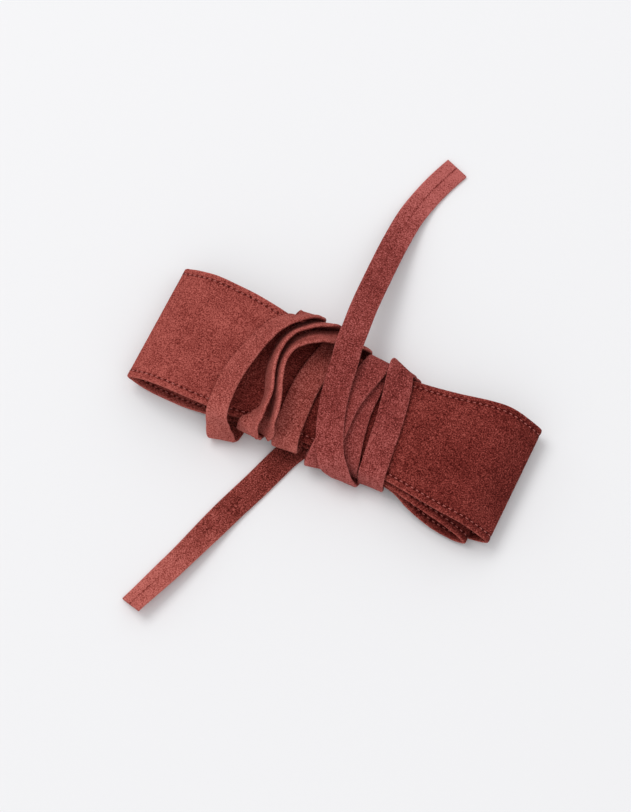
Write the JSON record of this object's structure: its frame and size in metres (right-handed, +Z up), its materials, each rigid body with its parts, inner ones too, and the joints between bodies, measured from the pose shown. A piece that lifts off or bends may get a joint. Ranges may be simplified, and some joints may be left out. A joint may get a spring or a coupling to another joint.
{
  "type": "leather tie belt",
  "caption": "Wide suede waist band with long narrow ties at its ends, folded into a flat roll and bound round the middle by its own ties, with both free ends lying out.",
  "frame": {"origin": "middle of the whole part's outline on the plane that it rests on", "axes": "+X along the folded band towards the end with two folds, +Y across it towards the far free end, +Z up"},
  "size_m": [0.2446, 0.354, 0.0408],
  "materials": {
    "suede": "suede nap, matt"
  },
  "bodies": {
    "root": {"band": "suede", "tie_with_near_end": "suede", "tie_with_far_end": "suede"}
  },
  "joints": []
}
